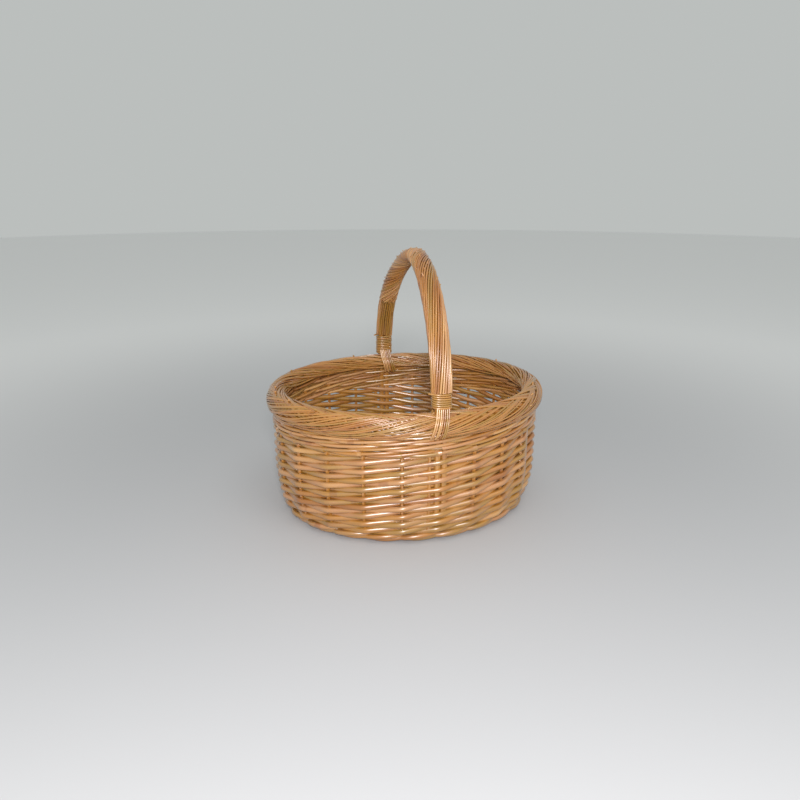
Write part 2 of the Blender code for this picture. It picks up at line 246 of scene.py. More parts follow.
def evenly_spaced(start, end, count):
    """Angles that cut the stake line from start to end into equal lengths."""
    angles = [start + (end - start) * step / FINE_STEPS for step in range(FINE_STEPS + 1)]
    points = [oval_point(angle, STAKE_INSET, 0) for angle in angles]
    run = [0.0]
    for before, after in zip(points, points[1:]):
        run.append(run[-1] + math.dist(before, after))
    spaced, place = [], 0
    for step in range(count):
        wanted = run[-1] * step / count
        while run[place] < wanted:
            place += 1
        spaced.append(angles[place])
    return spaced


front_angle = -math.acos(HANDLE_OFFSET / (HALF_LENGTH - STAKE_INSET))
half_round = STAKE_PLACES // 2 * STEPS_PER_PLACE
right = evenly_spaced(front_angle, -front_angle, half_round)
left = evenly_spaced(-front_angle, front_angle + math.tau, half_round)
place_angles = right + left + [front_angle + math.tau]
stake_gap = math.dist(
    oval_point(place_angles[0], STAKE_INSET, 0),
    oval_point(place_angles[STEPS_PER_PLACE], STAKE_INSET, 0),
)
print("stake places:", STAKE_PLACES, "each", round(1000 * stake_gap, 1), "mm on")


# %% Keep the angles on a guide
def guide_mesh():
    """One point for each step round the oval, with its angle as an attribute."""
    mesh = bpy.data.meshes.new("oval_guide")
    mesh.from_pydata([oval_point(angle, 0, 0) for angle in place_angles], [], [])
    angles = mesh.attributes.new("angle", "FLOAT", "POINT")
    angles.data.foreach_set("value", place_angles)
    return mesh


guide = guide_mesh()
print("guide points:", len(guide.vertices))

# %% [markdown]
# ## One tree for every kind of rod
#
# A rod is a line of points with a thickness. All the woven pieces are many such rods that follow one
# rule, so one function builds the tree, and each piece only gives the rule: where the rod with this
# number lies at this share of its length. The points come from a Mesh Line, are grouped into curves,
# moved by the rule, and swept with a circle. Three attributes stay on the mesh for the finish: how
# far along the rod a point lies, where round it, and the tone of its rod.

# %% What a rule can use
class Rods:
    """The rod's number, its share of the way, the named sizes and the oval."""

    def __init__(self, tree, rod, share, size, angles):
        self.tree = tree
        self.rod = rod
        self.share = share
        self.size = size
        self.angles = angles

    def random(self, seed, low=0.0, high=1.0, number=None):
        """A value that is the same all along one rod, or for one number."""
        return self.tree.node(
            "FunctionNodeRandomValue",
            {"data_type": "FLOAT"},
            {"Min": low, "Max": high, "ID": self.rod if number is None else number, "Seed": seed},
        )

    def angle(self, place):
        """The oval's angle at a place, which may lie between two stakes or past a full round."""
        steps = place.remainder(STAKE_PLACES) * STEPS_PER_PLACE
        whole = steps.floor()
        stored = read_attribute(self.tree, "angle")
        here, after = (
            self.tree.node(
                "GeometryNodeSampleIndex",
                {"data_type": "FLOAT", "domain": "POINT"},
                {"Geometry": self.angles, "Value": stored, "Index": index},
            )
            for index in (whole, whole + 1)
        )
        return here + (after - here) * (steps - whole)

    def oval(self, angle, inset, height):
        """The same point as oval_point gives, as a field."""
        across, up = angle.cos(), angle.sin()
        normal_x, normal_y = across / HALF_LENGTH, up / HALF_WIDTH
        length = (normal_x * normal_x + normal_y * normal_y).root()
        return self.tree.vector(
            across * HALF_LENGTH - inset * normal_x / length,
            up * HALF_WIDTH - inset * normal_y / length,
            height,
        )

    def wall_inset(self, height):
        """How far in the middle of the wall stands: upright above the knee, curved in below it."""
        below = ((KNEE_HEIGHT - height) / (KNEE_HEIGHT - WALL_THICKNESS / 2)).most(0).least(1)
        return FOOT_EDGE - (FOOT_EDGE - STAKE_INSET) * (1 - below * below).root()


# %% Attributes and sweep
def read_attribute(tree, title):
    return tree.node(
        "GeometryNodeInputNamedAttribute", {"data_type": "FLOAT"}, {"Name": title}
    )


def store_attribute(tree, geometry, title, value, data_type="FLOAT"):
    return tree.node(
        "GeometryNodeStoreNamedAttribute",
        {"data_type": data_type, "domain": "POINT"},
        {"Geometry": geometry, "Name": title, "Value": value},
    )


def sweep(tree, curves, sides):
    """Gives the curves a round skin of their own thickness, with closed ends."""
    circle = tree.node(
        "GeometryNodeCurvePrimitiveCircle", {"mode": "RADIUS"}, {"Resolution": sides, "Radius": 1.0}
    )
    around = tree.node("GeometryNodeInputPosition")
    circle = store_attribute(tree, circle, "around", around, "FLOAT_VECTOR")
    radius = read_attribute(tree, "thickness") / 2
    skin = {"Curve": curves, "Profile Curve": circle, "Scale": radius, "Fill Caps": True}
    return tree.node("GeometryNodeCurveToMesh", values=skin)


# %% The rod tree
def rod_tree(name, sizes, rule, sides=8):
    """A tree that makes the rods of one piece by its rule."""
    group = bpy.data.node_groups.new(name, "GeometryNodeTree")
    face = group.interface
    face.new_socket("Guide", in_out="INPUT", socket_type="NodeSocketGeometry")
    for title in ("Rods", "Points"):
        face.new_socket(title, in_out="INPUT", socket_type="NodeSocketInt")
    for title in sizes:
        face.new_socket(title, in_out="INPUT", socket_type="NodeSocketFloat")
    face.new_socket("Finish", in_out="INPUT", socket_type="NodeSocketMaterial")
    face.new_socket("Rods", in_out="OUTPUT", socket_type="NodeSocketGeometry")

    tree = Tree(group)
    entry = group.nodes.new("NodeGroupInput")
    given = {socket.name: Wire(tree, socket) for socket in entry.outputs if socket.name}
    index = tree.node("GeometryNodeInputIndex")
    rod = (index / given["Points"]).floor()
    share = (index - rod * given["Points"]) / (given["Points"] - 1)
    rods = Rods(tree, rod, share, {title: given[title] for title in sizes}, given["Guide"])
    made = rule(rods)

    line = tree.node("GeometryNodeMeshLine", values={"Count": given["Rods"] * given["Points"]})
    points = tree.node("GeometryNodeMeshToPoints", values={"Mesh": line})
    points = tree.node(
        "GeometryNodeSetPosition", values={"Geometry": points, "Position": made["place"]}
    )
    for title in ("tone", "along", "thickness"):
        points = store_attribute(tree, points, title, made[title])
    curves = tree.node(
        "GeometryNodePointsToCurves", values={"Points": points, "Curve Group ID": rod}
    )
    solid = sweep(tree, curves, sides)
    solid = tree.node("GeometryNodeRealizeInstances", values={"Geometry": solid})
    solid = tree.node(
        "GeometryNodeSetMaterial", values={"Geometry": solid, "Material": given["Finish"]}
    )
    end = group.nodes.new("NodeGroupOutput")
    group.links.new(solid.socket, end.inputs[0])
    return group


# %% From a tree to a finished piece
SHARP_EDGE = math.radians(60)


def weave(name, tree, rods, points, sizes, finish):
    """Runs a tree on the guide and keeps its result as a plain mesh object."""
    carrier = bpy.data.objects.new(name, guide)
    bpy.context.scene.collection.objects.link(carrier)
    modifier = carrier.modifiers.new("weave", "NODES")
    modifier.node_group = tree
    values = {"Rods": rods, "Points": points, "Finish": finish, **sizes}
    for item in tree.interface.items_tree:
        if item.in_out == "INPUT" and item.name in values:
            modifier[item.identifier] = values[item.name]
    graph = bpy.context.evaluated_depsgraph_get()
    mesh = bpy.data.meshes.new_from_object(carrier.evaluated_get(graph))
    bpy.data.objects.remove(carrier)
    mesh.name = name
    piece = bpy.data.objects.new(name, mesh)
    bpy.context.scene.collection.objects.link(piece)
    mesh.shade_smooth()
    mesh.set_sharp_from_angle(angle=SHARP_EDGE)
    triangles = sum(len(face.vertices) - 2 for face in mesh.polygons)
    print(f"{name}: {rods} rods, {triangles} triangles")
    return piece


def keep(piece, slot, *nodes):
    """Rides the piece on the basket, in place of the CAD nodes named."""
    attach(piece, "root")
    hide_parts(*nodes)


# %% [markdown]
# ## The finish of the willow
#
# Peeled and boiled willow is a honey tan that differs from rod to rod, with faint streaks along the
# grain and small dark rings where buds sat, under a clear varnish. A flat colour or a picture would
# repeat. Here the tone of the rod picks a colour from a short ramp, a noise that is stretched along
# the rod draws the streaks, and the coat gives the gloss.

# %% Colours of the rods
PALE = (0.62, 0.34, 0.11)
HONEY = (0.49, 0.22, 0.038)
OLIVE = (0.37, 0.195, 0.03)
PINK = (0.50, 0.235, 0.088)
AMBER = (0.36, 0.13, 0.018)
GRAIN_STAIN = (0.45, 0.26, 0.14, 1)

mixed_rods = [(0.0, AMBER), (0.3, HONEY), (0.5, OLIVE), (0.7, PINK), (1.0, PALE)]
warm_rods = [(0.0, AMBER), (0.5, HONEY), (0.8, OLIVE), (1.0, HONEY)]
stake_rods = [(0.0, AMBER), (0.6, HONEY), (1.0, PINK)]

# %% Varnished willow
VARNISH = {
    "Coat Weight": 1.0,
    "Coat Roughness": 0.31,
    "Coat IOR": 1.72,
    "IOR": 1.5,
    "Specular IOR Level": 0.6,
}
WILLOW_ROUGHNESS = 0.34


def grain_places(tree, bare):
    """The tone of a rod, and where the noises of its blotches and its grain are read."""
    if bare:
        place = tree.node("ShaderNodeTexCoord", out="Object")
        tone = tree.node("ShaderNodeTexNoise", values={"Vector": place, "Scale": 14.0, "Detail": 1.0})
        return tone, place, place * tree.vector(260, 260, 30)
    tone = tree.node("ShaderNodeAttribute", {"attribute_name": "tone"}, out="Fac")
    run = tree.node("ShaderNodeAttribute", {"attribute_name": "along"}, out="Fac")
    around = tree.node("ShaderNodeAttribute", {"attribute_name": "around"}, out="Vector")
    return tone, tree.vector(run, tone * 3, 0), around * 1.6 + tree.vector(run * 26, tone * 40, run * 3)


def willow(name, stops, streaks=1.0, bare=False):
    """Varnished willow. A bare one is for pieces whose mesh has no rod attributes."""
    material = bpy.data.materials.new(name)
    material.use_nodes = True
    tree = Tree(material.node_tree)
    shader = material.node_tree.nodes["Principled BSDF"]
    tone, along, grain_place = grain_places(tree, bare)
    grain = tree.node("ShaderNodeTexNoise", values={"Vector": grain_place, "Scale": 1.0, "Detail": 3.0})
    blotch = tree.node("ShaderNodeTexNoise", values={"Vector": along, "Scale": 18.0, "Detail": 1.0})
    rings = tree.node("ShaderNodeTexNoise", values={"Vector": along, "Scale": 55.0, "Detail": 0.0})
    ring = rings.smooth(0.70, 0.76)
    shade = tone + (blotch - 0.5) * 0.7 + (grain - 0.5) * 0.35 * streaks
    colour = tree.node("ShaderNodeValToRGB", {"stops": stops}, {"Fac": shade}, out="Color")
    streak = (grain.smooth(0.35, 0.65) * 0.24 * streaks + ring * 0.35).least(0.6)
    stained = tree.node(
        "ShaderNodeMix",
        {"data_type": "RGBA", "blend_type": "MULTIPLY"},
        {"Factor": streak, "A": colour, "B": GRAIN_STAIN},
        out="Result",
    )
    bump = tree.node(
        "ShaderNodeBump",
        values={"Strength": 0.25, "Distance": 0.0006, "Height": grain + ring * 0.6},
    )
    tree.feed(shader.inputs["Base Color"], stained)
    tree.feed(shader.inputs["Roughness"], WILLOW_ROUGHNESS + (grain - 0.5) * 0.22)
    tree.feed(shader.inputs["Normal"], bump)
    for title, value in VARNISH.items():
        shader.inputs[title].default_value = value
    return material


# %% Make the finishes
finishes = {
    "siding": willow("siding_willow", mixed_rods),
    "wale": willow("wale_willow", mixed_rods),
    "border": willow("border_willow", warm_rods),
    "roping": willow("roping_willow", mixed_rods, streaks=1.3),
    "binding": willow("binding_willow", warm_rods),
    "base": willow("base_willow", warm_rods),
    "stake": willow("stake_willow", stake_rods, bare=True),
    "stick": willow("stick_willow", warm_rods, bare=True),
    "bow": willow("bow_willow", warm_rods, bare=True),
}
print("finishes:", ", ".join(finishes))

# %% [markdown]
# ## The siding
#
# French randing: a rod starts behind each stake, and each is worked in front of one stake and behind
# the next, so all of them climb round the basket side by side. Seen from outside, the front strokes
# stand in columns over the stakes with dark spots between them. Stiff rods don't wave between two
# stakes. They lie straight and only bend where a stake holds them, so the wall is a ring of flat
# panels. The rule finds the two stakes that a point lies between and draws the straight line from one
# to the other. Three such points, a little apart along the rod, are averaged to round the bends. A
# rod also sits a little higher in front of a stake than behind it, as the one below props it up.

# %% The rule of the siding
SIDING_START = 0.0125
SIDING_RISE = 0.0062
SIDING_ROD = 0.0078
SIDING_PROUD = 0.0005
SIDING_LIFT = 0.0011
SIDING_SLACK = 0.0006
SIDING_BEND = 0.06
BUTT_THICKNESS = 1.05
TIP_TAPER = 0.16


def siding_rule(rods):
    strokes = rods.share * rods.size["Strokes"]
    taper = BUTT_THICKNESS - TIP_TAPER * rods.share
    thickness = rods.size["Rod"] * rods.random(3, 0.92, 1.08) * taper
    reach = WALL_THICKNESS / 2 + SIDING_PROUD - thickness / 2

    def at_stake(stroke):
        """Where the rod passes its stake: in front of every second one."""
        place = rods.rod + stroke
        slack = rods.random(71, -SIDING_SLACK, SIDING_SLACK, number=rods.rod * 64 + stroke)
        height = rods.size["Start"] + stroke * rods.size["Rise"] + slack
        side = stroke.remainder(2) * 2 - 1
        inset = rods.wall_inset(height) - side * reach
        return rods.oval(rods.angle(place), inset, height + side * SIDING_LIFT)

    def on_line(offset):
        shifted = strokes + offset
        stroke = shifted.floor()
        before, after = at_stake(stroke), at_stake(stroke + 1)
        return before + (after - before).scaled(shifted - stroke)

    return {
        "place": (on_line(-SIDING_BEND) + on_line(0.0) + on_line(SIDING_BEND)).scaled(1 / 3),
        "thickness": thickness,
        "tone": rods.random(5),
        "along": strokes * stake_gap,
    }


# %% Weave the siding
POINTS_PER_STROKE = 10
stroke_count = math.ceil((siding_high.z - SIDING_START) / SIDING_RISE)
siding_tree = rod_tree("siding_rods", ["Strokes", "Start", "Rise", "Rod"], siding_rule, sides=10)
siding = weave(
    "siding_rods", siding_tree, STAKE_PLACES, stroke_count * POINTS_PER_STROKE + 1,
    {"Strokes": stroke_count, "Start": SIDING_START, "Rise": SIDING_RISE, "Rod": SIDING_ROD},
    finishes["siding"],
)
keep(siding, "siding_willow", "siding")

# %% [markdown]
# ## The wales
#
# A wale is three rods worked together: each in turn goes in front of two stakes and behind one. It
# looks like a flat rope that lies round the stakes, and that is how the rule makes it, as a helix
# over three places whose front half is longer than its back. One stout round turns the corner at the
# foot. The fine rounds at the top show twice outside, and go on up inside under the border's roll.

# %% The rule of the wales
WALE_STRANDS = 3
WALE_DWELL = 0.22
ROUND_STAGGER = 0.5
POINTS_PER_PLACE = 9


def wale_rule(rods):
    """Rods 0, 1, 2 make the first round, the next three the second, and so on."""
    row = (rods.rod / WALE_STRANDS).floor()
    strand = rods.rod - row * WALE_STRANDS
    place = rods.share * STAKE_PLACES
    turn = (place - strand + row * ROUND_STAGGER) * (math.tau / WALE_STRANDS)
    thickness = rods.size["Rod"] * rods.random(7, 0.95, 1.05)
    front = WALE_DWELL + turn.cos() - WALE_DWELL * (turn * 2).cos()
    depth = front * (STAKE_THICKNESS + thickness) / 2
    height = rods.size["Height"] + row * rods.size["Row"] + turn.sin() * thickness / 2
    inset = rods.wall_inset(height) - rods.size["Tuck"] - depth
    stroke = ((place - strand) / WALE_STRANDS + 0.5).floor()
    return {
        "place": rods.oval(rods.angle(place), inset, height),
        "thickness": thickness,
        "tone": rods.random(11, number=rods.rod * 16 + stroke),
        "along": place * stake_gap,
    }


wale_tree = rod_tree("wale_rods", ["Height", "Row", "Rod", "Tuck"], wale_rule, sides=10)

# %% Weave the wales
TOP_ROD = 0.0046
TOP_ROW = 0.0078
FOOT_ROD = 0.0068
FOOT_TUCK = 0.002
top_start = wale_low.z + 0.6 * TOP_ROD
foot_start = 1.15 * FOOT_ROD
top_rows = int((wale_high.z - wale_low.z) / TOP_ROW) + 1

top_wale = weave(
    "top_wale_rods", wale_tree, top_rows * WALE_STRANDS, STAKE_PLACES * POINTS_PER_PLACE + 1,
    {"Height": top_start, "Row": TOP_ROW, "Rod": TOP_ROD, "Tuck": 0.0},
    finishes["wale"],
)
keep(top_wale, "wale_willow", "top_wale")

foot_wale = weave(
    "foot_wale_rods", wale_tree, WALE_STRANDS, STAKE_PLACES * POINTS_PER_PLACE + 1,
    {"Height": foot_start, "Row": 0.0, "Rod": FOOT_ROD, "Tuck": FOOT_TUCK},
    finishes["wale"],
)
keep(foot_wale, "wale_willow", "foot_wale")

# %% [markdown]
# ## The border
#
# The rim is finished with a wide plait that is rolled over the top of the wall, so it hangs lower
# outside than inside. Its strands, each a flat ribbon of fine rods, swing from the inner edge over
# the top to the outer edge and back, and each passes over some of the others and then under as many.
# A flat plait is two sines: one across the band, and one of twice the speed in and out. Here the band
# is wrapped round an oval section, and each rod keeps its place in its ribbon, square to the strand.

# %% The rule of the plait
STRANDS = 11
RODS_PER_STRAND = 5
LANE_SPACING = 1.03
LANE_WANDER = 0.3
OVER_AND_UNDER = 0.7
ROLL_RADIUS = (BORDER_DEPTH + BORDER_WIDTH) / 4


def border_rule(rods):
    strand = (rods.rod / RODS_PER_STRAND).floor()
    lane = rods.rod - strand * RODS_PER_STRAND - (RODS_PER_STRAND - 1) / 2
    place = rods.share * STAKE_PLACES
    swing = (place + strand) * (math.tau / STRANDS)
    half_band = rods.size["Band"] / 2
    slope = swing.cos() * half_band * (math.tau / STRANDS) / stake_gap
    steep = (1 + slope * slope).root()
    wander = rods.random(13, -LANE_WANDER, LANE_WANDER)
    wander = wander + (place * 1.9 + rods.rod * 2.1).sin() * LANE_WANDER
    offset = (lane + wander) * rods.size["Rod"] * LANE_SPACING
    across = swing.sin() * half_band + offset / steep
    along = place - offset * slope / steep / stake_gap
    thickness = rods.size["Rod"] * rods.random(17, 0.85, 1.1)
    lift = (swing * 2).sin() * rods.size["Rod"] * -OVER_AND_UNDER + rods.random(15, -0.0003, 0.0003)
    turn = rods.size["Middle"] + across / ROLL_RADIUS
    half_wide = BORDER_WIDTH / 2 - thickness + lift
    half_deep = BORDER_DEPTH / 2 - thickness + lift
    inset = BORDER_WIDTH / 2 - half_wide * turn.sin()
    height = BORDER_MIDDLE + half_deep * turn.cos()
    stroke = ((place + strand) / STRANDS + 0.25).floor()
    return {
        "place": rods.oval(rods.angle(along), inset, height),
        "thickness": thickness,
        "tone": rods.random(19, number=rods.rod * 16 + stroke),
        "along": place * stake_gap,
    }


# %% Plait the border
BORDER_ROD = 0.0025
BAND_OUTER = math.radians(146)
BAND_INNER = math.radians(-98)
band_swing = (BAND_OUTER - BAND_INNER) * ROLL_RADIUS - RODS_PER_STRAND * BORDER_ROD

border_tree = rod_tree("border_rods", ["Rod", "Band", "Middle"], border_rule, sides=6)
border = weave(
    "border_plait", border_tree, STRANDS * RODS_PER_STRAND, STAKE_PLACES * POINTS_PER_PLACE + 1,
    {"Rod": BORDER_ROD, "Band": band_swing, "Middle": (BAND_OUTER + BAND_INNER) / 2},
    finishes["border"],
)
keep(border, "border_willow", "border")

# %% [markdown]
# ## What fills the roll
#
# In a rolled border the bent ends of the stakes lie inside, and they show as dark rods in the gaps of
# the plait. A plain tube would show as a smooth skin there. A few thick rods that wander under the
# plait give the same depth with little mesh.

# %% Fill the roll
CORE_RODS = 5
CORE_ROD = 0.0085
CORE_SINK = 0.0092
CORE_SPREAD = math.radians(62)


def core_rule(rods):
    place = rods.share * STAKE_PLACES
    lane = rods.rod / (CORE_RODS - 1) * 2 - 1
    turn = lane * CORE_SPREAD + (place * 1.3 + rods.rod * 2).sin() * 0.1
    inset = BORDER_WIDTH / 2 - turn.sin() * (BORDER_WIDTH / 2 - rods.size["Sink"])
    height = BORDER_MIDDLE + turn.cos() * (BORDER_DEPTH / 2 - rods.size["Sink"])
    return {
        "place": rods.oval(rods.angle(place), inset, height),
        "thickness": rods.size["Rod"],
        "tone": rods.random(67),
        "along": place * stake_gap,
    }


core_tree = rod_tree("core_rods", ["Rod", "Sink"], core_rule, sides=6)
core = weave(
    "border_core", core_tree, CORE_RODS, STAKE_PLACES * 6 + 1, {"Rod": CORE_ROD, "Sink": CORE_SINK},
    finishes["border"],
)
keep(core, "border_willow", "border")

# %% [markdown]
# ## Cut ends of the plait
#
# Wherever a rod of the plait runs out, a new one is laid in, and the old end is cut off just above
# the surface. The cuts are pale. Short straight rods at random places round the roll show them, and
# each leans along the rim as a rod would that comes up out of the plait.

# %% Cut the ends
CUT_ENDS = 26
CUT_END_ROD = 0.0025
CUT_END_LENGTH = 0.004
CUT_END_LEAN = 0.07
CUT_INNER = math.radians(-40)
CUT_OUTER = math.radians(95)


def cut_end_rule(rods):
    spread = rods.rod * (STAKE_PLACES / CUT_ENDS) + rods.random(81, -0.3, 0.3)
    place = spread + rods.share * CUT_END_LEAN
    turn = rods.random(83, CUT_INNER, CUT_OUTER)
    lift = (rods.share - 0.75) * CUT_END_LENGTH
    inset = BORDER_WIDTH / 2 - turn.sin() * (lift + BORDER_WIDTH / 2)
    height = turn.cos() * (lift + BORDER_DEPTH / 2) + BORDER_MIDDLE
    return {
        "place": rods.oval(rods.angle(place), inset, height),
        "thickness": rods.size["Rod"],
        "tone": rods.random(87, 0.8, 1.2),
        "along": rods.share * rods.size["Rod"],
    }


cut_end_tree = rod_tree("cut_ends", ["Rod"], cut_end_rule, sides=8)
cut_ends = weave(
    "border_cut_ends", cut_end_tree, CUT_ENDS, 2, {"Rod": CUT_END_ROD}, finishes["border"]
)
keep(cut_ends, "border_willow", "border")

# %% [markdown]
# ## The handle's roping
#
# Fine rods are laid along the two core bows. They lie almost straight up the front leg, twist to
# about half a right angle round the top, and their tips are wound down the back leg, over rods that
# lie straight. So there are two layers here: one that twists along the arch and ends part way down
# the back, and one of straight rods below it. Both use one rule, on a line that follows the arch.

# %% Arch helpers
def arch(rods, turn):
    """The handle's middle line: turn runs from 0 at the front rim to pi at the back rim."""
    rise = turn.sin().most(0) ** ARCH_SHOULDER
    back = turn.cos()
    return rods.tree.vector(
        HANDLE_OFFSET + HANDLE_LEAN * rise * rise * rise,
        back.sign() * back.size() ** ARCH_SPREAD * (STAKE_INSET - HALF_WIDTH),
        RIM_HEIGHT + HANDLE_RISE * rise,
    )


def arch_frame(rods, turn):
    """The point on the arch, with the directions across it and square to both."""
    small = 0.01
    along = (arch(rods, turn + small) - arch(rods, turn - small)).math("NORMALIZE")
    inward = along.math("CROSS_PRODUCT", rods.tree.vector(1.0, 0.0, 0.0)).math("NORMALIZE")
    across = inward.math("CROSS_PRODUCT", along)
    return arch(rods, turn), across, inward


def turn_at(height):
    """The arch's turn where its front leg reaches this height."""
    return math.asin(((height - RIM_HEIGHT) / HANDLE_RISE) ** (1 / ARCH_SHOULDER))


# %% The rule of the roping
TWIST_MIDDLE = math.radians(70)
TWIST_SPREAD = 0.16
ROPING_WANDER = 0.0004
RUN_PER_TURN = HANDLE_RISE * 0.95


def roping_rule(rods):
    size = rods.size
    end = size["End"] + rods.random(23, -0.02, 0.02)
    turn = size["Start"] + (end - size["Start"]) * rods.share
    eased = ((turn - TWIST_MIDDLE) / TWIST_SPREAD).math("EXPONENT") + 1
    twist = turn * size["Slow"] + eased.math("LOGARITHM", math.e) * TWIST_SPREAD * size["Fast"]
    pair = rods.rod.remainder(2) * 2 - 1
    squeeze = (turn - TWIST_MIDDLE).smooth(-0.3, 0.5) * pair * size["Pair"]
    spin = (rods.rod - squeeze) * math.tau / size["Count"] + twist
    lean = size["Fast"] * (1 - 1 / eased) * HANDLE_WIDTH / 2 / RUN_PER_TURN
    thickness = size["Rod"] * rods.random(29, 0.85, 1.1) / (1 + lean * lean).root()
    wander = (turn * 17 + rods.rod * 2.6).sin() * ROPING_WANDER
    point, across, inward = arch_frame(rods, turn)
    wide = HANDLE_WIDTH / 2 - thickness / 2 - size["Sink"] + wander
    deep = HANDLE_THICKNESS / 2 - thickness / 2 - size["Sink"] + wander
    return {
        "place": point + across.scaled(spin.cos() * wide) + inward.scaled(spin.sin() * deep),
        "thickness": thickness,
        "tone": rods.random(31, number=(rods.rod / 2).floor()) + size["Tone"],
        "along": turn * HANDLE_RISE,
    }


# %% Rope the handle
TWISTED_RODS = 24
STRAIGHT_RODS = 23
ROPING_ROD = 0.0029
TWIST_END = math.radians(150)
STRAIGHT_START = math.radians(138)

roping_sizes = ["Start", "End", "Slow", "Fast", "Count", "Rod", "Sink", "Pair", "Tone"]
roping_tree = rod_tree("roping_rods", roping_sizes, roping_rule, sides=7)
roping = weave(
    "handle_roping_twist", roping_tree, TWISTED_RODS, 200,
    {"Start": turn_at(roping_low.z), "End": TWIST_END, "Slow": 1.8, "Fast": 8.5,
     "Count": TWISTED_RODS, "Rod": ROPING_ROD, "Sink": 0.0, "Pair": 0.11, "Tone": 0.0},
    finishes["roping"],
)
keep(roping, "roping_willow", "handle_roping")

back_leg = weave(
    "handle_roping_back", roping_tree, STRAIGHT_RODS, 40,
    {"Start": STRAIGHT_START, "End": math.pi - turn_at(back_binding_top), "Slow": 0.0, "Fast": 0.0,
     "Count": STRAIGHT_RODS, "Rod": ROPING_ROD, "Sink": 0.0006, "Pair": 0.0, "Tone": 0.35},
    finishes["roping"],
)
keep(back_leg, "roping_willow", "handle_roping")

# %% [markdown]
# ## Tips of the roping
#
# Round the top, where the rods cross the bows at a slant, some of their tips don't lie down and make
# a fringe against the light. Short tapered rods at random places on the outer side of the arch give
# that fringe.

# %% Tips that stand out of the roping
ROPING_TIPS = 30
TIP_ROD = 0.0022
TIP_LENGTH = 0.0034
TIPS_START = math.radians(52)
TIPS_SPREAD = math.radians(88)


def roping_tip_rule(rods):
    turn = TIPS_START + (rods.rod + rods.random(91, -0.3, 0.3)) * (TIPS_SPREAD / ROPING_TIPS)
    spin = rods.random(93, math.radians(200), math.radians(340))
    lift = (rods.share - 0.6) * rods.size["Length"]
    point, across, inward = arch_frame(rods, turn + rods.share * 0.02)
    side = across.scaled(spin.cos() * (lift + HANDLE_WIDTH / 2))
    square = inward.scaled(spin.sin() * (lift + HANDLE_THICKNESS / 2))
    return {
        "place": point + side + square,
        "thickness": rods.size["Rod"] * (1 - 0.4 * rods.share),
        "tone": rods.random(97),
        "along": rods.share * rods.size["Length"],
    }


tip_tree = rod_tree("roping_tips", ["Rod", "Length"], roping_tip_rule, sides=6)
tips = weave(
    "handle_roping_tips", tip_tree, ROPING_TIPS, 3, {"Rod": TIP_ROD, "Length": TIP_LENGTH},
    finishes["roping"],
)
keep(tips, "roping_willow", "handle_roping")

# %% [markdown]
# ## The bindings
#
# At each foot of the handle one fine rod is wound round the leg, about six times in front and ten
# behind, and its end is left as a short stub. A stack of rings would have no start and no end, so the
# rule winds one rod. The leg is nearly a rectangle, and the powers flatten the circle to match it.

# %% Wind the bindings
BINDING_ROD = 0.0029
BINDING_PITCH = 0.0030
BINDING_PROUD = 0.001
BINDING_SQUARE = 0.8
STUB = 0.0045


def binding_rule(rods):
    size = rods.size
    height = size["Low"] + (size["High"] - size["Low"]) * rods.share
    turn = ((height - RIM_HEIGHT) / HANDLE_RISE) ** (1 / ARCH_SHOULDER)
    middle = (turn.math("ARCSINE").cos() ** ARCH_SPREAD) * (HALF_WIDTH - STAKE_INSET)
    spin = rods.share * size["Turns"] * math.tau
    wide = size["Width"] / 2 - size["Rod"] / 2
    deep = size["Depth"] / 2 - size["Rod"] / 2
    flat = (spin.cos().size() ** BINDING_SQUARE) * spin.cos().sign()
    square = (spin.sin().size() ** BINDING_SQUARE) * spin.sin().sign()
    slack = (spin * 1.3).sin() * 0.0003
    stub = rods.share.smooth(0.985, 1.0) * STUB
    return {
        "place": rods.tree.vector(
            HANDLE_OFFSET + flat * (wide + slack + stub),
            (middle + square * (deep + slack)) * size["Side"],
            height,
        ),
        "thickness": size["Rod"] * (1.0 - 0.15 * rods.share),
        "tone": rods.random(37),
        "along": spin * size["Width"] * 0.4,
    }


binding_tree = rod_tree(
    "binding_rods", ["Low", "High", "Width", "Depth", "Rod", "Side", "Turns"], binding_rule, sides=8
)
for name, side in (("front", -1), ("back", 1)):
    low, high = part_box(f"handle_binding_{name}")
    binding = weave(
        f"handle_binding_{name}_rod", binding_tree, 1, 320,
        {"Low": low.z + BINDING_ROD / 2, "High": high.z - BINDING_ROD / 2,
         "Width": high.x - low.x + BINDING_PROUD, "Depth": HANDLE_THICKNESS, "Rod": BINDING_ROD,
         "Side": side, "Turns": math.floor((high.z - low.z) / BINDING_PITCH) - 0.5},
        finishes["binding"],
    )
    keep(binding, "binding_willow", f"handle_binding_{name}")

# %% [markdown]
# ## The rod ends
#
# The ends of the roping rods come out under each binding, part, and are laid down over the border as
# two flat bands, one outside and one inside. The rods of a band lie side by side on the roll's oval
# section, so the rule is an arc of that section, with a lane for each rod and a slant along the rim.

# %% Lay the rod ends over the border
ENDS_COUNT = 7
ENDS_WIDTH = 0.0185
ENDS_SLANT = 0.008
ENDS_START = math.radians(28)
ENDS_CLIMB = 0.009
ENDS_LIFT = 0.0012
OUTER_REACH = math.radians(128)
INNER_REACH = math.acos((inner_ends_floor - BORDER_MIDDLE) / (BORDER_DEPTH / 2))


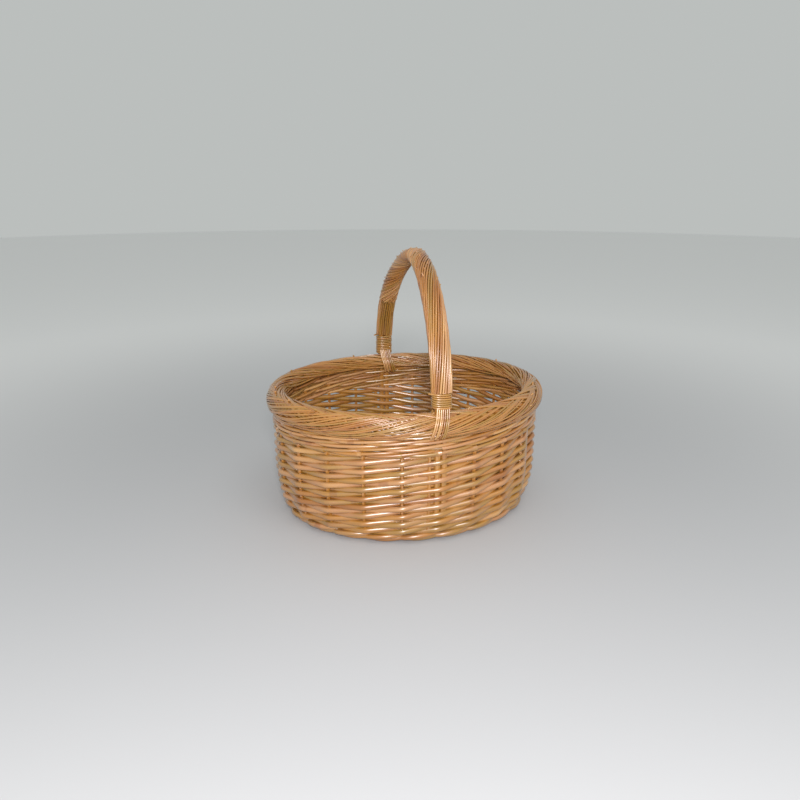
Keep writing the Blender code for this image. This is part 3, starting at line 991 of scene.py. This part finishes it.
def ends_rule(rods):
    size = rods.size
    lane = rods.rod - (size["Count"] - 1) / 2
    turn = ENDS_START + (size["Reach"] * rods.random(41, 0.93, 1.03) - ENDS_START) * rods.share
    lift = ENDS_LIFT + rods.random(43, 0.0, 0.0005)
    inset = BORDER_WIDTH / 2 - size["Face"] * (BORDER_WIDTH / 2 + lift) * turn.sin()
    climb = (1 - rods.share * 5).most(0) * ENDS_CLIMB
    height = (BORDER_DEPTH / 2 + lift) * turn.cos() + climb + BORDER_MIDDLE
    spread = size["Width"] * (0.92 + 0.12 * rods.share) / size["Count"]
    x = HANDLE_OFFSET + lane * spread + size["Side"] * ENDS_SLANT * rods.share
    angle = (x / (HALF_LENGTH - STAKE_INSET)).math("ARCCOSINE") * size["Side"]
    return {
        "place": rods.oval(angle, inset, height),
        "thickness": size["Width"] / size["Count"] * rods.random(47, 0.82, 0.98),
        "tone": rods.random(53),
        "along": rods.share * BORDER_DEPTH,
    }


ends_tree = rod_tree("rod_ends", ["Count", "Width", "Reach", "Side", "Face"], ends_rule, sides=8)
for name, side in (("front", -1), ("back", 1)):
    for face_name, face, reach in (("outer", 1, OUTER_REACH), ("inner", -1, INNER_REACH)):
        node = f"roping_ends_{name}_{face_name}"
        ends = weave(
            node + "_rods", ends_tree, ENDS_COUNT, 22,
            {"Count": ENDS_COUNT, "Width": ENDS_WIDTH, "Reach": reach, "Side": side, "Face": face},
            finishes["roping"],
        )
        keep(ends, "roping_willow", node)

# %% [markdown]
# ## The base
#
# The base is woven before the sides: thinner rods go over and under the bottom sticks and the pushed
# in ends of the stakes, round after round. Each round is one rod here, at a steady distance inside
# the one before, and every second round is half a wave behind, as in plain weaving.

# %% Weave the base
BASE_ROD = 0.0042
BASE_ROUND = 0.0043


def base_rule(rods):
    place = rods.share * STAKE_PLACES
    inset = FOOT_EDGE + rods.size["Rod"] / 2 + rods.rod * rods.size["Round"]
    wave = (place * math.tau + rods.rod * math.pi).cos()
    height = WALL_THICKNESS / 2 + wave * (WALL_THICKNESS / 2 - rods.size["Rod"] / 2)
    return {
        "place": rods.oval(rods.angle(place), inset, height),
        "thickness": rods.size["Rod"] * rods.random(59, 0.92, 1.04),
        "tone": rods.random(61),
        "along": place * stake_gap,
    }


base_tree = rod_tree("base_rods", ["Rod", "Round"], base_rule, sides=6)
base_rounds = int((base_high.y - BASE_ROD) / BASE_ROUND)
base = weave(
    "base_weave_rods", base_tree, base_rounds, STAKE_PLACES * 12 + 1,
    {"Rod": BASE_ROD, "Round": BASE_ROUND},
    finishes["base"],
)
keep(base, "base_willow", "base_weave")

# %% [markdown]
# ## Stakes, sticks and bows
#
# These are plain round rods and their solid shape is already right, so they stay, and only their
# finish is made here.

# %% Finish the plain rods
PLAIN_RODS = (
    ("side_stake", "stake"), ("handle_stake", "stake"), ("base_", "stick"), ("handle_bow", "bow"),
)
finished = 0
for name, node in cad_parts.items():
    for start, finish in PLAIN_RODS:
        if name.startswith(start) and name != "base_weave":
            node.data.materials.clear()
            node.data.materials.append(finishes[finish])
            finished += 1
print("plain rods finished:", finished)

# %% [markdown]
# ## The floor
#
# A pale floor that runs to the horizon stands in for a table and its backdrop. One light near the
# basket can't light it evenly to its edge, so the floor gets a little paler with the distance, which
# keeps the ground behind the basket as bright as the ground in front.

# %% Floor
FLOOR_NEAR = (0.50, 0.505, 0.515, 1)
FLOOR_FAR = (0.90, 0.90, 0.90, 1)

bpy.ops.mesh.primitive_circle_add(vertices=96, radius=6.0, fill_type="NGON")
floor = bpy.context.object
floor.name = "floor"
paper = bpy.data.materials.new("pale_floor")
paper.use_nodes = True
paper_shader = paper.node_tree.nodes["Principled BSDF"]
paper_tree = Tree(paper.node_tree)
from_middle = paper_tree.node("ShaderNodeTexCoord", out="Object")
away = paper_tree.node("ShaderNodeVectorMath", {"operation": "LENGTH"}, {0: from_middle}, out="Value")
paler = paper_tree.node(
    "ShaderNodeMix",
    {"data_type": "RGBA"},
    {"Factor": away.smooth(0.35, 1.55), "A": FLOOR_NEAR, "B": FLOOR_FAR},
    out="Result",
)
paper_tree.feed(paper_shader.inputs["Base Color"], paler)
paper_shader.inputs["Roughness"].default_value = 0.9
floor.data.materials.append(paper)

# %% [markdown]
# ## The camera
#
# The basket is seen from a little above the rim and turned slightly, so that the oval of the opening,
# the wall and the whole handle show. The camera is placed by its distance and two angles from a point
# inside the basket, which is easier to adjust than three coordinates.

# %% Camera
CAMERA_DISTANCE = 1.0
CAMERA_PITCH = math.radians(17.78)
CAMERA_TURN = math.radians(-14.45)
CAMERA_LENS = 30.74
TARGET = Vector((-0.00814, 0.00210, 0.15157))

towards_camera = Vector((
    math.sin(CAMERA_TURN) * math.cos(CAMERA_PITCH),
    -math.cos(CAMERA_TURN) * math.cos(CAMERA_PITCH),
    math.sin(CAMERA_PITCH),
))
lens = bpy.data.cameras.new("camera")
lens.lens = CAMERA_LENS
lens.sensor_width = 36
camera = bpy.data.objects.new("camera", lens)
camera.location = TARGET + CAMERA_DISTANCE * towards_camera
camera.rotation_euler = (math.pi / 2 - CAMERA_PITCH, 0, CAMERA_TURN)
bpy.context.scene.collection.objects.link(camera)
bpy.context.scene.camera = camera
print("camera at", [round(v, 3) for v in camera.location])

# %% [markdown]
# ## The lights
#
# A bright even sky fills the gaps of the weave. A large soft light stands in front and above, and a
# smaller one just above the camera puts the gleam on the varnish where the wall faces it.

# %% Lights
KEY_COLOUR = (1.0, 0.97, 0.98)
SKY_COLOUR = (0.96, 1.0, 0.98, 1)
SKY_STRENGTH = 0.52


def soft_light(name, place, size, power, colour=(1, 1, 1)):
    """An area light that faces the middle of the basket."""
    data = bpy.data.lights.new(name, "AREA")
    data.shape = "DISK"
    data.size = size
    data.energy = power
    data.color = colour
    light = bpy.data.objects.new(name, data)
    light.location = place
    light.rotation_euler = (TARGET - Vector(place)).to_track_quat("-Z", "Y").to_euler()
    bpy.context.scene.collection.objects.link(light)


soft_light("key", (-0.30, -1.22, 0.70), 0.22, 14.5, KEY_COLOUR)
soft_light("softbox", (0.1, -0.9, 1.8), 1.2, 5.5)

world = bpy.data.worlds.new("studio")
bpy.context.scene.world = world
world.use_nodes = True
sky = world.node_tree.nodes["Background"]
sky.inputs["Color"].default_value = SKY_COLOUR
sky.inputs["Strength"].default_value = SKY_STRENGTH
bpy.context.scene.view_settings.view_transform = "Standard"
